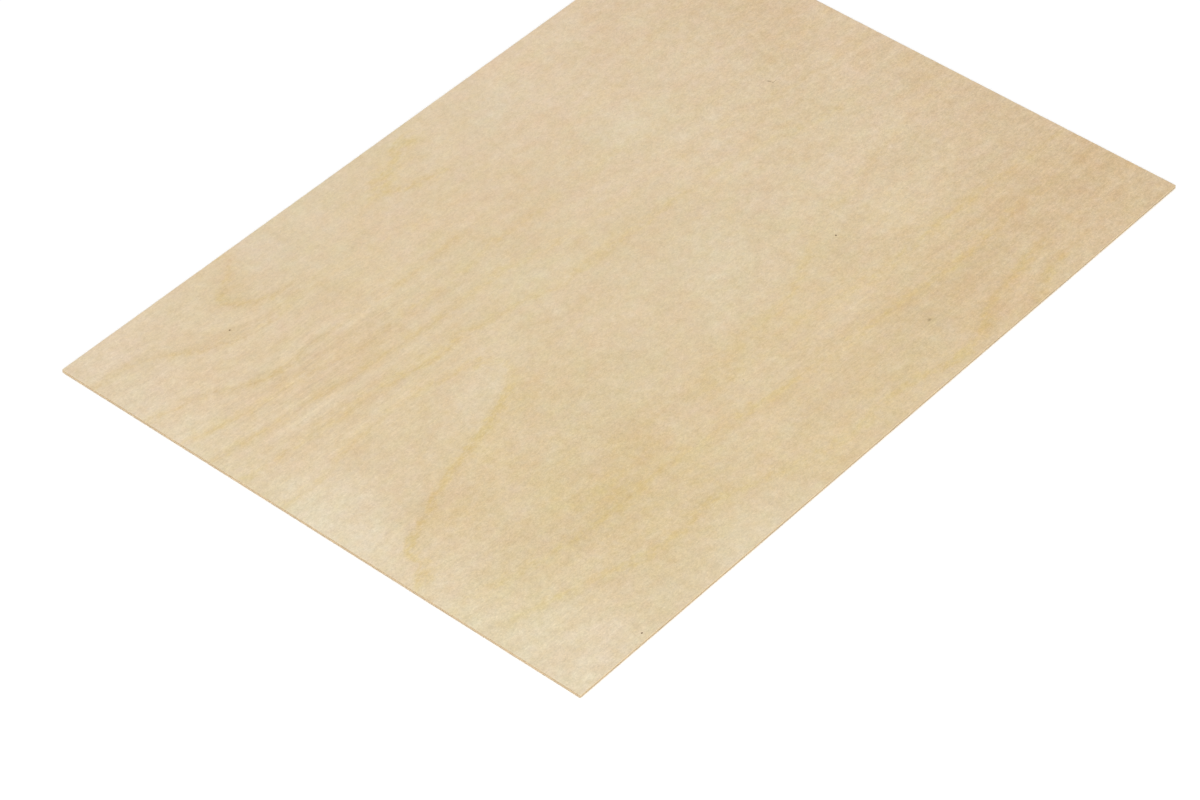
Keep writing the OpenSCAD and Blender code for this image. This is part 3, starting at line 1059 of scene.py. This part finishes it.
class BoardSettings(bpy.types.PropertyGroup):
    """Shape of the board. Its length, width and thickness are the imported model's."""

    corner_radius: FloatProperty(name="Corner Radius", description="Radius of the corners from above",
                                 default=0.0005, min=0.0002, unit="LENGTH", precision=5)
    arris: FloatProperty(name="Arris", description="Width of the sanded bevel along each edge",
                         default=0.0001, min=0.00002, unit="LENGTH", precision=5)
    face_cell: FloatProperty(name="Face Cell", description="Size of the cells of the face's mesh",
                             default=0.003, min=0.002, unit="LENGTH", precision=4)
    waviness: FloatProperty(name="Waviness", description="Depth of the soft hollows of the sanded face",
                            default=0.00003, min=0.0, unit="LENGTH", precision=6)
    edge_wear: FloatProperty(name="Edge Wear", description="Depth of the roughness of the cut edges",
                             default=0.00003, min=0.0, unit="LENGTH", precision=6)
    saw_pitch: FloatProperty(name="Saw Pitch", description="Distance between the marks of the saw's teeth",
                             default=0.0021, min=0.001, unit="LENGTH", precision=5)
    nick_depth: FloatProperty(name="Nick Depth", description="Depth of the small breaks along the arrises",
                              default=0.00016, min=0.0, unit="LENGTH", precision=6)
    pin_depth: FloatProperty(name="Pin Depth", description="Depth of the hollow at a pin knot",
                             default=0.00006, min=0.0, unit="LENGTH", precision=6)
    seed: IntProperty(name="Seed", description="Seed of the wear", default=7)


class FigureSettings(bpy.types.PropertyGroup):
    """How strongly each part of the figure shows."""

    ring_band: FloatProperty(name="Ring Band", description="Yellowing beside each ring", default=0.42)
    ring_line: FloatProperty(name="Ring Line", description="Darkening of each ring's thin line",
                             default=0.075)
    cloud: FloatProperty(name="Clouds", description="Broad light and dark clouds", default=0.13)
    mottle: FloatProperty(name="Mottle", description="Small blotches a few millimetres wide", default=0.20)
    stripe: FloatProperty(name="Stripes",
                          description="Stripes a few millimetres wide along the rings", default=0.13)
    streak: FloatProperty(name="Streaks", description="Long fine streaks along the rings", default=0.07)
    needle: FloatProperty(name="Needles", description="Short fine streaks along the grain", default=0.13)
    fleck: FloatProperty(name="Flecks", description="Short light and dark flecks along the grain",
                         default=0.36)
    grit: FloatProperty(name="Grit", description="Finest speckle left by sanding", default=0.28)
    hue: FloatProperty(name="Hue Drift", description="Drift between pale and honey", default=0.37)
    blush: FloatProperty(name="Blush", description="Drift between pinkish and greenish", default=0.04)
    yellow_reach: FloatProperty(name="Yellow Reach", description="Strength of the yellow patches",
                                default=1.9)
    fibre_light: FloatProperty(name="Fibre Lightness",
                               description="How much lighter a raised fibre is", default=0.03)
    relief: FloatProperty(name="Relief", description="Depth of the finest relief", default=0.00002,
                          unit="LENGTH", precision=6)


class ColourSettings(bpy.types.PropertyGroup):
    """Colours of the wood."""

    pale: FloatVectorProperty(name="Pale Sapwood", description="Where the veneer is palest",
                              subtype="COLOR",
                              default=(0.655, 0.537, 0.418), min=0, max=1)
    honey: FloatVectorProperty(name="Honey Sapwood", description="Where the veneer is warmest",
                               subtype="COLOR",
                               default=(0.655, 0.508, 0.275), min=0, max=1)
    knot: FloatVectorProperty(name="Pin Knot", description="Middle of a pin knot", subtype="COLOR",
                              default=(0.120, 0.070, 0.035), min=0, max=1)
    end_grain: FloatVectorProperty(name="End Grain", description="Veneer cut across its fibres",
                                   subtype="COLOR",
                                   default=(0.700, 0.560, 0.370), min=0, max=1)
    pore: FloatVectorProperty(name="Pore", description="Pores of the end grain", subtype="COLOR",
                              default=(0.450, 0.310, 0.180), min=0, max=1)
    long_grain: FloatVectorProperty(name="Long Grain", description="Veneer cut along its fibres",
                                    subtype="COLOR",
                                    default=(0.755, 0.595, 0.370), min=0, max=1)
    glue: FloatVectorProperty(name="Glue Line", description="Glue between two veneers", subtype="COLOR",
                              default=(0.330, 0.200, 0.100), min=0, max=1)


class FibreSettings(bpy.types.PropertyGroup):
    """Raised fibres of the face, back and edges."""

    face_density: FloatProperty(name="Face Density", description="Fibres on a square metre of the face",
                                default=110000, min=0)
    back_density: FloatProperty(name="Back Density", description="Fibres on a square metre of the back",
                                default=60000, min=0)
    edge_density: FloatProperty(name="Edge Density",
                                description="Fibres on a square metre of long grain edge",
                                default=2500000, min=0)
    shortest: FloatProperty(name="Shortest", description="Shortest fibre", default=0.002, unit="LENGTH")
    longest: FloatProperty(name="Longest", description="Longest fibre", default=0.009, unit="LENGTH")
    width: FloatProperty(name="Width", description="Width of a fibre",
                         default=0.0004, unit="LENGTH", precision=5)
    height: FloatProperty(name="Height", description="Thickness of a fibre, half of it above the surface",
                          default=0.00003, unit="LENGTH", precision=6)
    yaw: FloatProperty(name="Yaw", description="Most that a fibre strays from the grain", default=0.06,
                       subtype="ANGLE")
    seed: IntProperty(name="Seed", description="Seed of the fibres", default=3)


class StudioSettings(bpy.types.PropertyGroup):
    """Floor, lights and camera."""

    azimuth: FloatProperty(name="Azimuth",
                           description="Turn of the camera round the sheet, from looking along +Y",
                           default=math.radians(39.86), subtype="ANGLE")
    elevation: FloatProperty(name="Elevation", description="Height of the camera's view above level",
                             default=math.radians(43.21), subtype="ANGLE")
    roll: FloatProperty(name="Roll", description="Turn of the camera about its own axis",
                        default=math.radians(0.62), subtype="ANGLE")
    distance: FloatProperty(name="Distance", description="Camera's distance, in sheet widths", default=6.43)
    aim_across: FloatProperty(name="Aim Across",
                              description="Where the camera aims, in sheet widths from the middle",
                              default=0.140)
    aim_along: FloatProperty(name="Aim Along",
                             description="Where the camera aims, in sheet widths from the middle",
                             default=-0.241)
    lens: FloatProperty(name="Lens", description="Focal length in millimetres on a 36 mm sensor",
                        default=132.3)
    overhead_power: FloatProperty(name="Overhead Light", description="Power of the large light overhead",
                                  default=20.0, unit="POWER")
    front_power: FloatProperty(name="Front Light",
                               description="Power of the light low on the camera's side",
                               default=70.0, unit="POWER")
    sky: FloatProperty(name="Sky", description="Strength of the even light from all round", default=0.445)
    floor: FloatVectorProperty(name="Floor", description="Colour of the floor", subtype="COLOR",
                               default=(0.98, 0.98, 0.98), min=0, max=1)


# ----------------------------------------------------------------------------
# Operators
# ----------------------------------------------------------------------------


class PLYWOOD_OT_board(bpy.types.Operator):
    """Make the board with its worn edges and its materials"""

    bl_idname = "plywood.board"
    bl_label = "Make Board"

    def execute(self, context):
        scene = context.scene
        colours, figure = scene.plywood_colours, scene.plywood_figure
        mesh = board_mesh(scene.plywood_board, scene.plywood_fibres)
        mesh.materials.append(sanded_veneer("plywood_face", figure, colours, 20))
        mesh.materials.append(cut_edge(colours, figure, 60))
        mesh.materials.append(sanded_veneer("plywood_back", figure, colours, 90, dull=0.05))
        piece = bpy.data.objects.new("plywood_board", mesh)
        scene.collection.objects.link(piece)
        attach(piece, BODY)
        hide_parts(NODE)
        return {"FINISHED"}


class PLYWOOD_OT_fibres(bpy.types.Operator):
    """Raise fibres on the face, the back and the long grain of the edges"""

    bl_idname = "plywood.fibres"
    bl_label = "Raise Fibres"

    def execute(self, context):
        board = bpy.data.objects["plywood_board"]
        fibre = context.scene.plywood_fibres
        for name, finish, density, width, yaw in (("face_fibres", FACE, fibre.face_density, 1.0, 1.0),
                                                  ("edge_fibres", EDGE, fibre.edge_density, 0.25, 0.15),
                                                  ("back_fibres", BACK, fibre.back_density, 1.0, 1.0)):
            material = board.data.materials[finish]
            piece = scatter_fibres(board, name, finish, density, material, fibre, width, yaw)
            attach(piece, BODY)
        return {"FINISHED"}


class PLYWOOD_OT_stage(bpy.types.Operator):
    """Set the floor, the lights and the camera"""

    bl_idname = "plywood.stage"
    bl_label = "Set Stage"

    def execute(self, context):
        scene = context.scene
        studio = scene.plywood_studio
        lay_floor(scene, studio)
        hang_lights(scene, studio)
        place_camera(scene, studio)
        scene.view_settings.view_transform = "Standard"
        return {"FINISHED"}


FLOOR_REACH = 4.0
FLOOR_GAP = 0.00005

# The lights' sides, and where they hang from the middle of the sheet.
OVERHEAD_SIDE = 1.6
OVERHEAD_PLACE = Vector((-0.25, 0.10, 2.2))
FRONT_SIDE = 2.2
FRONT_TURN = math.radians(42)
FRONT_HEIGHT = math.radians(35)
FRONT_DISTANCE = 3.4


def towards(turn, height):
    """The direction that is turned round the sheet from its near end, and raised above level."""
    flat = math.cos(height)
    return Vector((math.sin(turn) * flat, -math.cos(turn) * flat, math.sin(height)))


def lay_floor(scene, studio):
    """A wide matt floor just under the sheet."""
    z = LOW.z - FLOOR_GAP
    square = [(-1, -1), (1, -1), (1, 1), (-1, 1)]
    mesh = bpy.data.meshes.new("floor")
    mesh.from_pydata([(x * FLOOR_REACH, y * FLOOR_REACH, z) for x, y in square], [], [(0, 1, 2, 3)])
    material = bpy.data.materials.new("floor_paper")
    material.use_nodes = True
    shader = material.node_tree.nodes["Principled BSDF"]
    shader.inputs["Base Color"].default_value = (*studio.floor, 1.0)
    shader.inputs["Roughness"].default_value = 0.9
    shader.inputs["Specular IOR Level"].default_value = 0.1
    mesh.materials.append(material)
    floor = bpy.data.objects.new("floor", mesh)
    scene.collection.objects.link(floor)


def hang_light(scene, name, side, power, place, aim):
    """A soft square light that the camera doesn't see."""
    light = bpy.data.lights.new(name, "AREA")
    light.shape = "SQUARE"
    light.size = side
    light.energy = power
    lamp = bpy.data.objects.new(name, light)
    lamp.location = place
    lamp.rotation_euler = (aim - place).to_track_quat("-Z", "Y").to_euler()
    lamp.visible_camera = False
    scene.collection.objects.link(lamp)


def hang_lights(scene, studio):
    """A large soft light overhead, another on the camera's side for the cut edges, and an even sky."""
    middle = (LOW + HIGH) / 2
    hang_light(scene, "overhead", OVERHEAD_SIDE, studio.overhead_power, middle + OVERHEAD_PLACE, middle)
    place = middle + towards(FRONT_TURN, FRONT_HEIGHT) * FRONT_DISTANCE
    hang_light(scene, "front", FRONT_SIDE, studio.front_power, place, middle)
    world = bpy.data.worlds.new("studio")
    world.use_nodes = True
    background = world.node_tree.nodes["Background"]
    background.inputs["Color"].default_value = (1.0, 1.0, 1.0, 1.0)
    background.inputs["Strength"].default_value = studio.sky
    scene.world = world


def place_camera(scene, studio):
    """The camera, looking down on the sheet from beyond its near corner."""
    width = 2 * HALF_WIDTH
    back = towards(studio.azimuth, studio.elevation)
    level = Vector((0, 0, 1)).cross(back).normalized()
    up = back.cross(level)
    right = math.cos(studio.roll) * level + math.sin(studio.roll) * up
    up = back.cross(right)
    middle = (LOW + HIGH) / 2
    aim = Vector((middle.x + studio.aim_across * width, middle.y + studio.aim_along * width, HIGH.z))
    data = bpy.data.cameras.new("camera")
    data.sensor_fit = "HORIZONTAL"
    data.sensor_width = 36.0
    data.lens = studio.lens
    data.clip_start = 0.01
    data.clip_end = 50.0
    camera = bpy.data.objects.new("camera", data)
    turn = Matrix((right, up, back)).transposed().to_4x4()
    camera.matrix_world = Matrix.Translation(aim + back * studio.distance * width) @ turn
    scene.collection.objects.link(camera)
    scene.camera = camera


class PLYWOOD_PT_panel(bpy.types.Panel):
    """Lists the steps that make the sheet"""

    bl_idname = "PLYWOOD_PT_panel"
    bl_label = "Plywood Sheet"
    bl_space_type = "VIEW_3D"
    bl_region_type = "UI"
    bl_category = "Plywood"

    def draw(self, context):
        for operator in OPERATORS:
            self.layout.operator(operator.bl_idname)
        for name in SETTINGS:
            group = getattr(context.scene, name)
            box = self.layout.box()
            for field in group.bl_rna.properties.keys():
                if field not in {"rna_type", "name"}:
                    box.prop(group, field)


OPERATORS = (PLYWOOD_OT_board, PLYWOOD_OT_fibres, PLYWOOD_OT_stage)
SETTINGS = {
    "plywood_board": BoardSettings,
    "plywood_figure": FigureSettings,
    "plywood_colours": ColourSettings,
    "plywood_fibres": FibreSettings,
    "plywood_studio": StudioSettings,
}


def register():
    for group in SETTINGS.values():
        bpy.utils.register_class(group)
    for name, group in SETTINGS.items():
        setattr(bpy.types.Scene, name, PointerProperty(type=group))
    for operator in OPERATORS:
        bpy.utils.register_class(operator)
    bpy.utils.register_class(PLYWOOD_PT_panel)


def unregister():
    bpy.utils.unregister_class(PLYWOOD_PT_panel)
    for operator in reversed(OPERATORS):
        bpy.utils.unregister_class(operator)
    for name in SETTINGS:
        delattr(bpy.types.Scene, name)
    for group in reversed(list(SETTINGS.values())):
        bpy.utils.unregister_class(group)


def corners(bounds):
    return [[float(n) for n in corner] for corner in bounds]


def main():
    register()
    bpy.ops.plywood.board()
    bpy.ops.plywood.fibres()
    bpy.ops.plywood.stage()


if __name__ == "__main__":
    main()
